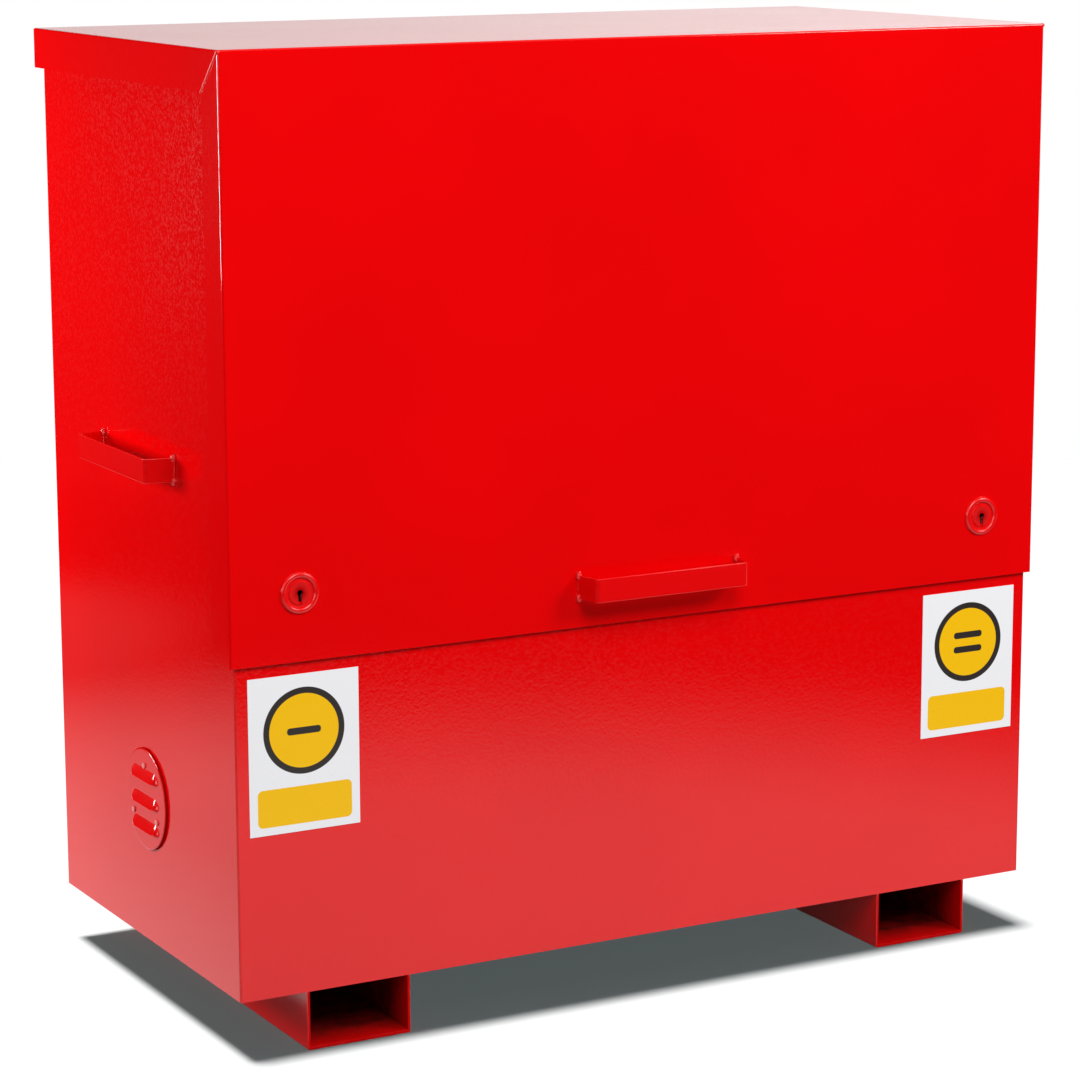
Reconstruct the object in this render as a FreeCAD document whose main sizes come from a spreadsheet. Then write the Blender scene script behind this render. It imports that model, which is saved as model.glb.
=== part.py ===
import FreeCAD, Part
import os
import Sketcher
from FreeCAD import Placement, Rotation, Vector

# Steel storage chest with a lift-up lid, fork channels, vents, two locks and two gas struts.
# Millimetres. Z is up, the front faces -Y, and the origin is on the floor under the middle
# of the whole chest, handles included.
os.makedirs("parts", exist_ok=True)
doc = FreeCAD.newDocument("storage_chest")

# Driving sizes, one row each in the sheet
DRIVING_SIZES = (
    ("body_width", 1180), ("body_depth", 590), ("overall_height", 1250), ("body_gauge", 2),
    ("lid_gauge", 2), ("lid_side_gap", 6), ("lid_front_gap", 4), ("lid_top_gap", 4),
    ("lid_rear_overhang", 14), ("lid_front_edge", 503.5), ("lid_flange", 52), ("lid_bend", 3),
    ("front_overlap", 31.5), ("rail_depth", 28), ("rail_lip", 15), ("jamb_width", 30),
    ("jamb_depth", 26), ("top_return", 15), ("corner_flange", 20), ("fold_radius", 3),
    ("sump_depth", 110), ("sump_gauge", 3), ("sump_clearance", 2),
    ("skid_height", 77), ("skid_width", 144), ("skid_gauge", 4), ("skid_inset", 90),
    ("handle_bar", 225), ("handle_feet", 240), ("handle_standoff", 40), ("handle_strip", 31),
    ("handle_gauge", 3), ("handle_bend", 7), ("carry_handle_level", 722.5),
    ("side_set_shift", 5), ("lift_handle_level", 557), ("front_set_shift", 4),
    ("vent_level", 270), ("vent_diameter", 135), ("vent_height", 4), ("vent_gauge", 1.5),
    ("vent_edge", 2.5), ("louvre_length", 86), ("louvre_rise", 6), ("louvre_depth", 14),
    ("louvre_pitch", 34), ("vent_slot_length", 74), ("vent_slot_height", 11),
    ("gauze_diameter", 120), ("gauze_gauge", 0.8), ("backing_diameter", 124),
    ("backing_gauge", 1.5), ("rivet_circle", 90), ("rivet_shank", 4.8), ("rivet_head", 8),
    ("rivet_head_height", 2), ("rivet_hole_play", 0.4), ("rivet_tail", 7),
    ("rivet_tail_height", 1.5),
    ("hinge_end_gap", 27.5), ("hinge_pitch", 75), ("hinge_pin", 6), ("hinge_play", 0.08),
    ("hinge_drop", 38), ("hinge_leaf", 2.5), ("hinge_leaf_height", 28), ("hinge_relief", 0.4),
    ("knuckle_gap", 0.5),
    ("lock_jamb_gap", 7), ("lock_level", 590), ("rose_diameter", 52), ("rose_height", 4),
    ("rose_ring", 7), ("rose_floor", 0.8), ("rose_core", 30), ("rose_core_height", 2.2),
    ("key_hole", 8), ("key_slot", 5), ("key_slot_drop", 14.5),
    ("lock_backset", 45), ("lock_width", 70), ("lock_height", 80), ("lock_depth", 22),
    ("lock_gauge", 2), ("lock_below_key", 38), ("lock_plate_margin", 10),
    ("bolt_height", 24), ("bolt_thickness", 8), ("bolt_tail", 30), ("bolt_rise", 20),
    ("bolt_setback", 11), ("bolt_throw", 20), ("bolt_play", 1), ("bolt_inset", 0.5),
    ("keeper_gauge", 3), ("keeper_height", 50), ("stud_diameter", 5), ("stud_length", 10),
    ("nut_width", 8), ("nut_height", 4), ("stud_edge", 5),
    ("strut_plane", 33), ("strut_tube", 22), ("strut_tube_wall", 2), ("strut_rod", 10),
    ("strut_foot_ahead", 92), ("strut_foot_below", 224), ("strut_head_ahead", 182),
    ("strut_head_above", 20), ("strut_travel", 150), ("strut_foot_gap", 18),
    ("strut_end_room", 5), ("rod_tail_gap", 45), ("piston_length", 10), ("piston_play", 0.1),
    ("guide_length", 12), ("rod_play", 0.05), ("eye_diameter", 20), ("eye_width", 10),
    ("eye_shank", 8), ("eye_shank_seat", 6), ("eye_pin", 8),
    ("eye_play", 0.08), ("bracket_gauge", 3), ("bracket_height", 60), ("bracket_width", 40),
    ("collar_diameter", 14), ("pin_cap", 1.5), ("pivot_gap", 0.3),
    ("brace_width", 60), ("brace_depth", 25), ("brace_flange", 15), ("brace_gauge", 1.5),
    ("brace_end_gap", 76), ("brace_level", 900), ("buffer_diameter", 12),
    ("buffer_clearance", 0.3), ("buffer_inset", 35), ("front_buffer_inset", 140),
    ("front_buffer_drop", 15), ("plate_width", 150), ("plate_height", 200),
    ("plate_gauge", 0.5), ("plate_inset", 16.5),
)
sheet = doc.addObject("Spreadsheet::Sheet", "Sizes")
for row, (alias, number) in enumerate(DRIVING_SIZES, start=1):
    sheet.set(f"A{row}", alias)
    sheet.set(f"B{row}", str(number))
    sheet.setAlias(f"B{row}", alias)
doc.recompute()


class Size:
    """A length with its number and the sheet formula that drives it."""

    def __init__(self, number, formula):
        self.number = float(number)
        self.formula = formula

    @staticmethod
    def of(other):
        return other if isinstance(other, Size) else Size(other, f"({other!r})")

    def __add__(self, other):
        other = Size.of(other)
        return Size(self.number + other.number, f"({self.formula} + {other.formula})")

    def __sub__(self, other):
        other = Size.of(other)
        return Size(self.number - other.number, f"({self.formula} - {other.formula})")

    def __mul__(self, other):
        other = Size.of(other)
        return Size(self.number * other.number, f"({self.formula} * {other.formula})")

    def __truediv__(self, other):
        other = Size.of(other)
        return Size(self.number / other.number, f"({self.formula} / {other.formula})")

    def __neg__(self):
        return Size(-self.number, f"(0 - {self.formula})")

    __radd__ = __add__
    __rmul__ = __mul__


class Sizes:
    """The sheet's sizes, read back by name."""

    def __init__(self, source, aliases):
        for alias in aliases:
            setattr(self, alias, Size(source.get(alias), f"Sizes.{alias}"))


d = Sizes(sheet, [alias for alias, number in DRIVING_SIZES])
ZERO = Size(0, "0")
OVERCUT = 1

# Planes that the pieces share, worked out from the driving sizes
lid_side_face = d.body_width / 2 + d.lid_side_gap + d.lid_gauge
side_face = d.body_width / 2
side_inside = side_face - d.body_gauge
middle_y = (d.lid_front_gap + d.lid_gauge + d.handle_standoff - d.lid_rear_overhang) / 2
body_front = middle_y - d.body_depth / 2
body_back = middle_y + d.body_depth / 2
wall_inside = body_front + d.body_gauge
back_inside = body_back - d.body_gauge
lid_inside = body_front - d.lid_front_gap
lid_front = lid_inside - d.lid_gauge
lid_rear = body_back + d.lid_rear_overhang
lid_rear_inside = lid_rear - d.lid_gauge
lid_top_inside = d.overall_height - d.lid_gauge
body_top = lid_top_inside - d.lid_top_gap
wall_top = d.lid_front_edge + d.front_overlap
sump_top = d.skid_height + d.sump_depth
jamb_foot = sump_top + d.sump_clearance
jamb_back = wall_inside + d.jamb_depth
jamb_inside = side_face - d.jamb_width
hinge_y = (body_back + lid_rear_inside) / 2
hinge_z = d.overall_height - d.hinge_drop
side_set_y = middle_y - d.side_set_shift

# Spacings and lengths that follow the body's width
skid_spacing = (side_face - d.skid_inset - d.skid_width / 2) * 2
lock_spacing = (jamb_inside - d.lock_jamb_gap - d.lock_backset) * 2
front_buffer_spacing = (side_face - d.front_buffer_inset) * 2
brace_length = (lid_side_face - d.lid_gauge - d.brace_end_gap) * 2
hinge_length = d.body_width - d.hinge_end_gap * 2

pieces = []


def keep(piece, label):
    """Names a finished sub-part and puts it on the list that is written out."""
    piece.Label = label
    pieces.append(piece)
    return piece


def place(obj, x, y, z, rotation=None):
    """Stands an object at a point whose coordinates follow the sheet."""
    x, y, z = Size.of(x), Size.of(y), Size.of(z)
    obj.Placement = Placement(Vector(x.number, y.number, z.number), rotation or Rotation())
    obj.setExpression(".Placement.Base.x", x.formula)
    obj.setExpression(".Placement.Base.y", y.formula)
    obj.setExpression(".Placement.Base.z", z.formula)
    return obj


def span(a, b):
    """Orders two coordinates and gives the lower one and the length between them."""
    a, b = Size.of(a), Size.of(b)
    low, high = (a, b) if a.number <= b.number else (b, a)
    return low, high - low


def box(name, x, y, z):
    """A block between two coordinates on each axis."""
    obj = doc.addObject("Part::Box", name)
    (x0, length), (y0, width), (z0, height) = span(*x), span(*y), span(*z)
    obj.setExpression("Length", length.formula)
    obj.setExpression("Width", width.formula)
    obj.setExpression("Height", height.formula)
    return place(obj, x0, y0, z0)


TURNS = {
    "x": Rotation(Vector(0, 1, 0), 90),
    "y": Rotation(Vector(1, 0, 0), -90),
    "z": Rotation(),
}


def rod(name, axis, radius, start, end, a, b):
    """A round bar along an axis from start to end, at a and b on the other two axes."""
    obj = doc.addObject("Part::Cylinder", name)
    low, length = span(start, end)
    obj.setExpression("Radius", Size.of(radius).formula)
    obj.setExpression("Height", length.formula)
    at = {"x": (low, a, b), "y": (a, low, b), "z": (a, b, low)}[axis]
    return place(obj, *at, TURNS[axis])


def fuse(name, parts):
    obj = doc.addObject("Part::MultiFuse", name)
    obj.Shapes = parts
    obj.Refine = True
    return obj


def cut(name, base, tools):
    obj = doc.addObject("Part::Cut", name)
    obj.Base = base
    obj.Tool = tools[0] if len(tools) == 1 else fuse(name + "_tools", tools)
    obj.Refine = True
    return obj


def group(name, solids):
    """Several separate solids that share one node."""
    obj = doc.addObject("Part::Compound", name)
    obj.Links = solids
    return obj


def origin_plane(body, role):
    return [item for item in body.Origin.OriginFeatures if item.Role == role][0]


def outline(body, name, plane, points):
    """A closed sketch of straight lines, with every corner tied to the sheet."""
    sketch = body.newObject("Sketcher::SketchObject", name)
    sketch.AttachmentSupport = [(origin_plane(body, plane), "")]
    sketch.MapMode = "FlatFace"
    points = [(Size.of(u), Size.of(v)) for u, v in points]
    count = len(points)
    for index, (u, v) in enumerate(points):
        end_u, end_v = points[(index + 1) % count]
        line = Part.LineSegment(Vector(u.number, v.number, 0), Vector(end_u.number, end_v.number, 0))
        sketch.addGeometry(line, False)
    for index in range(count):
        sketch.addConstraint(Sketcher.Constraint("Coincident", index, 2, (index + 1) % count, 1))
    for index, (u, v) in enumerate(points):
        for kind, size in (("DistanceX", u), ("DistanceY", v)):
            item = sketch.addConstraint(Sketcher.Constraint(kind, -1, 1, index, 1, size.number))
            sketch.setExpression(f"Constraints[{item}]", size.formula)
    doc.recompute()
    return sketch


def extrude(body, kind, name, sketch, length, reverse=False, midplane=False):
    """A pad or a pocket, checked to have changed the solid."""
    before = body.Shape.Volume if body.Tip else 0.0
    feature = body.newObject(f"PartDesign::{kind}", name)
    feature.Profile = sketch
    feature.setExpression("Length", Size.of(length).formula)
    feature.Midplane = midplane
    feature.Reversed = reverse
    doc.recompute()
    if abs(body.Shape.Volume - before) < 1e-6:
        raise RuntimeError(f"{name} changes nothing")
    return feature


def folded(label, plane, points, length, start=None):
    """A bent sheet section: its outline, and its length both ways or from a start."""
    body = doc.addObject("PartDesign::Body", label + "_sheet")
    sketch = outline(body, label + "_section", plane, points)
    if start is None:
        extrude(body, "Pad", label + "_pad", sketch, length, midplane=True)
        return body
    axis = {"XY_Plane": 2, "XZ_Plane": 1, "YZ_Plane": 0}[plane]
    extrude(body, "Pad", label + "_pad", sketch, length, reverse=(axis == 1))
    at = [ZERO, ZERO, ZERO]
    at[axis] = start
    return place(body, *at)


def round_edges(body, name, chosen, radius):
    """Rounds the edges of a body that a test picks out."""
    solid = body.Tip
    edges = [f"Edge{i + 1}" for i, edge in enumerate(solid.Shape.Edges) if chosen(edge)]
    feature = body.newObject("PartDesign::Fillet", name)
    feature.Base = (solid, edges)
    feature.setExpression("Radius", Size.of(radius).formula)
    doc.recompute()
    return feature


def runs_through(edge, axis, points):
    """True for a straight edge along an axis that passes one of the points given."""
    if edge.Curve.TypeId != "Part::GeomLine" or len(edge.Vertexes) < 2:
        return False
    a, b = edge.Vertexes[0].Point, edge.Vertexes[-1].Point
    others = [i for i in range(3) if i != axis]
    if any(abs(a[i] - b[i]) > 1e-6 for i in others):
        return False
    return any(all(abs(a[i] - Size.of(p).number) < 1e-6 for i, p in zip(others, point))
               for point in points)


# Lid: one folded sheet with a top, a front drop, side flanges and a short rear flange
def lid_shell():
    body = doc.addObject("PartDesign::Body", "lid_sheet")
    flange_y = lid_front + d.lid_flange
    flange_z = d.overall_height - d.lid_flange
    top, edge = d.overall_height, d.lid_front_edge
    sketch = outline(body, "lid_outline", "YZ_Plane", [
        (lid_front, edge), (flange_y, edge), (flange_y, flange_z),
        (lid_rear, flange_z), (lid_rear, top), (lid_front, top)])
    extrude(body, "Pad", "lid_block", sketch, lid_side_face * 2, midplane=True)

    def outer_fold(item):
        side = lid_side_face.number
        return (runs_through(item, 0, [(lid_front, top), (lid_rear, top)])
                or runs_through(item, 1, [(-side, top), (side, top)])
                or runs_through(item, 2, [(-side, lid_front), (side, lid_front)]))
    round_edges(body, "lid_folds", outer_fold, d.lid_bend)
    past = Size(OVERCUT, str(OVERCUT))
    inner = outline(body, "lid_hollow_outline", "YZ_Plane", [
        (lid_inside, edge - past), (flange_y + past, edge - past),
        (flange_y + past, flange_z - past), (lid_rear + past, flange_z - past),
        (lid_rear + past, hinge_z), (lid_rear_inside, hinge_z),
        (lid_rear_inside, lid_top_inside), (lid_inside, lid_top_inside)])
    inside = (lid_side_face - d.lid_gauge) * 2
    extrude(body, "Pocket", "lid_hollow", inner, inside, midplane=True)
    holes = []
    for side in (-1, 1):
        x = lock_x(side)
        holes.append(rod(f"lid_lock_hole_{side + 1}", "y", d.rose_core / 2 - d.rose_ring / 2,
                         lid_front - OVERCUT, lid_inside + OVERCUT, x, d.lock_level))
    keep(cut("lid_cut", body, holes), "lid_shell")


def lock_x(side):
    return d.front_set_shift + side * lock_spacing / 2


# Lid braces: two top-hat channels welded inside, one under the top and one behind the front
def lid_braces():
    half, wing = d.brace_width / 2, d.brace_width / 2 + d.brace_flange
    gauge, depth = d.brace_gauge, d.brace_depth

    def hat(across, face, sign):
        """Corners of the section: across it, and away from the sheet it is welded to."""
        corners = [(-wing, 0), (gauge - half, 0), (gauge - half, depth - gauge),
                   (half - gauge, depth - gauge), (half - gauge, 0), (wing, 0),
                   (wing, gauge), (half, gauge), (half, depth), (-half, depth),
                   (-half, gauge), (-wing, gauge)]
        return [(across + u, face + Size.of(v) * sign) for u, v in corners]
    keep(folded("top_brace", "YZ_Plane", hat(middle_y, lid_top_inside, -1), brace_length),
         "lid_brace_top")
    front = [(v, u) for u, v in hat(d.brace_level, lid_inside, 1)]
    keep(folded("front_brace", "YZ_Plane", front, brace_length), "lid_brace_front")


# Body shell: two folded side panels, a back panel, a low front wall and a welded sump tray
def side_panels():
    for side, name in ((-1, "left"), (1, "right")):
        wall = box(f"wall_{name}", (side * side_face, side * side_inside),
                   (wall_inside, body_back), (d.skid_height, body_top))
        jamb = box(f"jamb_{name}", (side * side_inside, side * jamb_inside),
                   (wall_inside, wall_inside + d.body_gauge), (jamb_foot, body_top))
        lip = box(f"jamb_lip_{name}", (side * jamb_inside, side * (jamb_inside + d.body_gauge)),
                  (wall_inside, jamb_back), (jamb_foot, body_top))
        top = box(f"top_return_{name}", (side * side_inside, side * (side_inside - d.top_return)),
                  (wall_inside, back_inside), (body_top - d.body_gauge, body_top))
        slot = box(f"bolt_slot_{name}",
                   (side * (jamb_inside - OVERCUT), side * (jamb_inside + d.body_gauge + OVERCUT)),
                   bolt_span_y(d.bolt_play), bolt_span_z(d.bolt_play))
        holes = vent_slots(side, name, "panel", d.body_gauge, ZERO)
        panel = fuse(f"side_{name}", [wall, jamb, lip, top])
        keep(cut(f"side_cut_{name}", panel, [slot] + holes), f"side_panel_{name}")


def bolt_span_y(play):
    near = lid_inside + d.bolt_setback
    return near - play, near + d.bolt_thickness + play


def bolt_span_z(play):
    level = d.lock_level + d.bolt_rise
    return level - d.bolt_height / 2 - play, level + d.bolt_height / 2 + play


def back_panel():
    inside, flange = side_inside, back_inside - d.corner_flange
    gauge = d.body_gauge
    section = [(-inside, body_back), (inside, body_back), (inside, flange),
               (inside - gauge, flange), (inside - gauge, back_inside),
               (-inside + gauge, back_inside), (-inside + gauge, flange), (-inside, flange)]
    sheet_part = folded("back", "XY_Plane", section, body_top - d.skid_height, d.skid_height)
    reach = side_inside - d.top_return - OVERCUT
    rail = box("rear_rail", (-reach, reach), (back_inside - d.rail_depth, back_inside),
               (body_top - gauge, body_top))
    lip = box("rear_rail_lip", (-reach, reach),
              (back_inside - d.rail_depth, back_inside - d.rail_depth + gauge),
              (body_top - d.rail_lip, body_top - gauge))
    notch = [box(f"corner_notch_{side + 1}", (side * (side_inside - d.top_return - OVERCUT),
                                              side * side_inside),
                 (flange - OVERCUT, back_inside), (body_top - gauge, body_top))
             for side in (-1, 1)]
    sheet_part = cut("back_notched", sheet_part, notch)
    keep(fuse("back_fused", [sheet_part, rail, lip]), "back_panel")


def front_wall():
    gauge, rail = d.body_gauge, body_front + d.rail_depth
    section = [(body_front, d.skid_height), (body_front, wall_top), (rail, wall_top),
               (rail, wall_top - d.rail_lip), (rail - gauge, wall_top - d.rail_lip),
               (rail - gauge, wall_top - gauge), (wall_inside, wall_top - gauge),
               (wall_inside, d.skid_height)]
    body = folded("front", "YZ_Plane", section, d.body_width)
    round_edges(body, "front_folds", lambda edge: runs_through(
        edge, 0, [(body_front, wall_top), (rail, wall_top)]), d.fold_radius)
    notches = []
    for side in (-1, 1):
        notches.append(box(f"rail_notch_{side + 1}",
                           (side * (jamb_inside - OVERCUT), side * (side_face + OVERCUT)),
                           (wall_inside, rail + OVERCUT),
                           (wall_top - d.rail_lip - OVERCUT, wall_top + OVERCUT)))
    keep(cut("front_cut", body, notches), "front_wall")


def sump_tray():
    reach = side_inside - d.body_gauge
    gauge = d.sump_gauge
    outer = box("sump_outer", (-reach, reach), (wall_inside, back_inside),
                (d.skid_height, sump_top))
    inner = box("sump_inner", (-reach + gauge, reach - gauge),
                (wall_inside + gauge, back_inside - gauge),
                (d.skid_height + gauge, sump_top + OVERCUT))
    keep(cut("sump_cut", outer, [inner]), "sump_tray")


# Fork channels: two U sections, open at both ends, welded under the floor
def fork_channels():
    for side, name in ((-1, "left"), (1, "right")):
        centre, half = side * skid_spacing / 2, d.skid_width / 2
        gauge, top = d.skid_gauge, d.skid_height
        section = [(centre - half, 0), (centre + half, 0), (centre + half, top),
                   (centre + half - gauge, top), (centre + half - gauge, gauge),
                   (centre - half + gauge, gauge), (centre - half + gauge, top),
                   (centre - half, top)]
        body = folded(f"fork_{name}", "XZ_Plane", section, d.body_depth, body_front)
        corners = [(centre - half, ZERO), (centre + half, ZERO)]
        round_edges(body, f"fork_bends_{name}",
                    lambda edge, at=corners: runs_through(edge, 1, at), d.fold_radius)
        keep(body, f"fork_channel_{name}")


# Handles: flat strip bent to a bracket shape, welded on by its two feet
def handle(label, level, x, y, rotation):
    """The bar runs along local X and stands off towards local -Y."""
    body = doc.addObject("PartDesign::Body", label)
    bar, feet, out = d.handle_bar / 2, d.handle_feet / 2, d.handle_standoff
    gauge = d.handle_gauge
    slope = (feet - bar) / out
    rise = out - gauge
    section = [(-feet, 0), (-bar, -out), (bar, -out), (feet, 0), (feet - gauge, 0),
               (feet - gauge - slope * rise, -rise), (-feet + gauge + slope * rise, -rise),
               (-feet + gauge, 0)]
    sketch = outline(body, label + "_section", "XY_Plane", section)
    extrude(body, "Pad", label + "_pad", sketch, d.handle_strip, midplane=True)
    inner = feet - gauge - slope * rise
    round_edges(body, label + "_outer_bends", lambda edge: runs_through(
        edge, 2, [(-bar, -out), (bar, -out)]), d.handle_bend)
    round_edges(body, label + "_inner_bends", lambda edge: runs_through(
        edge, 2, [(-inner, -rise), (inner, -rise)]), d.handle_bend - d.handle_gauge)
    place(body, x, y, level, rotation)
    keep(body, label)


def handles():
    left = Rotation(Vector(0, 0, 1), -90)
    right = Rotation(Vector(0, 0, 1), 90)
    handle("carry_handle_left", d.carry_handle_level, -side_face, side_set_y, left)
    handle("carry_handle_right", d.carry_handle_level, side_face, side_set_y, right)
    handle("lid_handle", d.lift_handle_level, d.front_set_shift, lid_front, Rotation())


# Vents: a louvred cover outside, gauze and a slotted backing plate inside, three rivets
def vent_slots(side, name, part, thickness, start):
    """Slots and rivet holes through a sheet of this thickness, start in from the side face."""
    near = side * (side_face - start + OVERCUT)
    far = side * (side_face - start - thickness - OVERCUT)
    tools = []
    for row in (-1, 0, 1):
        level = d.vent_level + row * d.louvre_pitch
        half, radius = d.vent_slot_length / 2, d.vent_slot_height / 2
        if part != "gauze":
            tools.append(box(f"{part}_slot_{name}_{row + 1}", (near, far),
                             (side_set_y - half + radius, side_set_y + half - radius),
                             (level - radius, level + radius)))
            for end in (-1, 1):
                tools.append(rod(f"{part}_slot_end_{name}_{row + 1}_{end + 1}", "x", radius,
                                 near, far, side_set_y + end * (half - radius), level))
    for index, (y, z) in enumerate(rivet_places()):
        tools.append(rod(f"{part}_rivet_hole_{name}_{index}", "x",
                         (d.rivet_shank + d.rivet_hole_play) / 2, near, far, y, z))
    return tools


def rivet_places():
    """Three places at 120 degrees: one above the louvres and two lower down."""
    radius = d.rivet_circle / 2
    half_root_three = Size(3 ** 0.5 / 2, "(sqrt(3) / 2)")
    return [(side_set_y, d.vent_level + radius),
            (side_set_y - radius * half_root_three, d.vent_level - radius / 2),
            (side_set_y + radius * half_root_three, d.vent_level - radius / 2)]


def louvre(name, side, row, skin):
    """The body of one pressed hood: a round bar with ball ends, cut flat below and behind."""
    rise, depth = d.louvre_rise, d.louvre_depth
    radius = (depth * depth + rise * rise) / (rise * 2)
    centre_x = side * (side_face + d.vent_height + rise - radius)
    low = d.vent_level + row * d.louvre_pitch - depth / 2
    half = d.louvre_length / 2 - depth
    parts = [rod(f"{name}_bar", "y", radius - skin, side_set_y - half, side_set_y + half,
                 centre_x, low)]
    for end in (-1, 1):
        ball = doc.addObject("Part::Sphere", f"{name}_ball_{end + 1}")
        ball.setExpression("Radius", (radius - skin).formula)
        parts.append(place(ball, centre_x, side_set_y + end * half, low))
    back = side_face + d.vent_height - d.vent_gauge - (OVERCUT if skin.number else 0)
    block = box(f"{name}_block", (side * back, side * (back + rise + depth)),
                (side_set_y - d.louvre_length, side_set_y + d.louvre_length),
                (low - (OVERCUT if skin.number else 0), low + depth + OVERCUT))
    hood = doc.addObject("Part::Common", name)
    hood.Base = fuse(f"{name}_fused", parts)
    hood.Tool = block
    return hood


def vent(side, name):
    disc = rod(f"vent_disc_{name}", "x", d.vent_diameter / 2,
               side * side_face, side * (side_face + d.vent_height), side_set_y, d.vent_level)
    doc.recompute()
    rounded = doc.addObject("Part::Fillet", f"vent_edge_{name}")
    rounded.Base = disc
    outer = (side_face + d.vent_height).number
    rounded.Edges = [(i + 1, d.vent_edge.number, d.vent_edge.number)
                     for i, edge in enumerate(disc.Shape.Edges)
                     if abs(abs(edge.CenterOfMass.x) - outer) < 1e-6 and len(edge.Vertexes) == 1]
    hollow = rod(f"vent_hollow_{name}", "x", d.vent_diameter / 2 - d.vent_gauge,
                 side * (side_face - OVERCUT),
                 side * (side_face + d.vent_height - d.vent_gauge), side_set_y, d.vent_level)
    skins = [louvre(f"hood_{name}_{row + 1}", side, row, ZERO) for row in (-1, 0, 1)]
    voids = [louvre(f"hood_void_{name}_{row + 1}", side, row, d.vent_gauge)
             for row in (-1, 0, 1)]
    drilled = [rod(f"vent_rivet_hole_{name}_{index}", "x",
                   (d.rivet_shank + d.rivet_hole_play) / 2, side * (side_face - OVERCUT),
                   side * (side_face + d.vent_height + OVERCUT), y, z)
               for index, (y, z) in enumerate(rivet_places())]
    cover = cut(f"vent_dish_{name}", rounded, [hollow])
    cover = fuse(f"vent_hooded_{name}", [cover] + skins)
    keep(cut(f"vent_cover_cut_{name}", cover, voids + drilled), f"vent_cover_{name}")

    gauze_start = d.body_gauge
    backing_start = gauze_start + d.gauze_gauge
    for part, diameter, gauge, start in (
            ("gauze", d.gauze_diameter, d.gauze_gauge, gauze_start),
            ("backing", d.backing_diameter, d.backing_gauge, backing_start)):
        plate = rod(f"{part}_disc_{name}", "x", diameter / 2, side * (side_face - start),
                    side * (side_face - start - gauge), side_set_y, d.vent_level)
        holes = vent_slots(side, name, part, gauge, start)
        keep(cut(f"{part}_cut_{name}", plate, holes), f"vent_{part}_{name}")

    tail_start = side_face - backing_start - d.backing_gauge
    head_start = side_face + d.vent_height
    rivets = []
    for index, (y, z) in enumerate(rivet_places()):
        key = f"rivet_{name}_{index}"
        head = rod(f"{key}_head", "x", d.rivet_head / 2, side * head_start,
                   side * (head_start + d.rivet_head_height), y, z)
        shank = rod(f"{key}_shank", "x", d.rivet_shank / 2, side * head_start,
                    side * tail_start, y, z)
        tail = rod(f"{key}_tail", "x", d.rivet_tail / 2, side * tail_start,
                   side * (tail_start - d.rivet_tail_height), y, z)
        rivets.append(fuse(key, [head, shank, tail]))
    keep(group(f"rivets_{name}", rivets), f"vent_rivets_{name}")


# Hinge: a full-length pinned hinge between the back panel and the lid's rear flange
def hinge():
    radius = (lid_rear_inside - body_back) / 2 - d.hinge_relief
    bore = d.hinge_pin / 2 + d.hinge_play
    clear = radius + d.hinge_relief * 2
    count = int(round(hinge_length.number / d.hinge_pitch.number))
    half = d.hinge_pitch * count / 2
    top = hinge_z + d.hinge_leaf_height
    for label, parity, face, sign in (("hinge_leaf_body", 0, body_back, 1),
                                      ("hinge_leaf_lid", 1, lid_rear_inside, -1)):
        leaf = [box(f"{label}_plate", (-half, half), (face, face + sign * d.hinge_leaf),
                    (hinge_z + clear, top))]
        for index in range(parity, count, 2):
            start = -half + d.hinge_pitch * index + d.knuckle_gap / 2
            end = start + d.hinge_pitch - d.knuckle_gap
            leaf.append(box(f"{label}_tab_{index}", (start, end),
                            (face, face + sign * d.hinge_leaf), (hinge_z, hinge_z + clear)))
            leaf.append(rod(f"{label}_knuckle_{index}", "x", radius, start, end, hinge_y, hinge_z))
        hole = rod(f"{label}_bore", "x", bore, -half - OVERCUT, half + OVERCUT, hinge_y, hinge_z)
        relief = box(f"{label}_relief", (-half - OVERCUT, half + OVERCUT),
                     (face - sign * OVERCUT, face), (hinge_z - radius, top))
        keep(cut(f"{label}_cut", fuse(f"{label}_fused", leaf), [hole, relief]), label)
    keep(rod("hinge_pin_rod", "x", d.hinge_pin / 2, -half, half, hinge_y, hinge_z), "hinge_pin")


# Locks: a rose on the lid, and behind it a plate, a case, a sliding bolt, studs and nuts
def key_cut(name, x, start, end):
    """The keyhole: a round hole over a slot."""
    hole = rod(f"{name}_key_hole", "y", d.key_hole / 2, start, end, x, d.lock_level)
    slot = box(f"{name}_key_slot", (x - d.key_slot / 2, x + d.key_slot / 2), (start, end),
               (d.lock_level - d.key_slot_drop, d.lock_level))
    return [hole, slot]


RIM_ROUND_SHARE = 0.85


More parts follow.
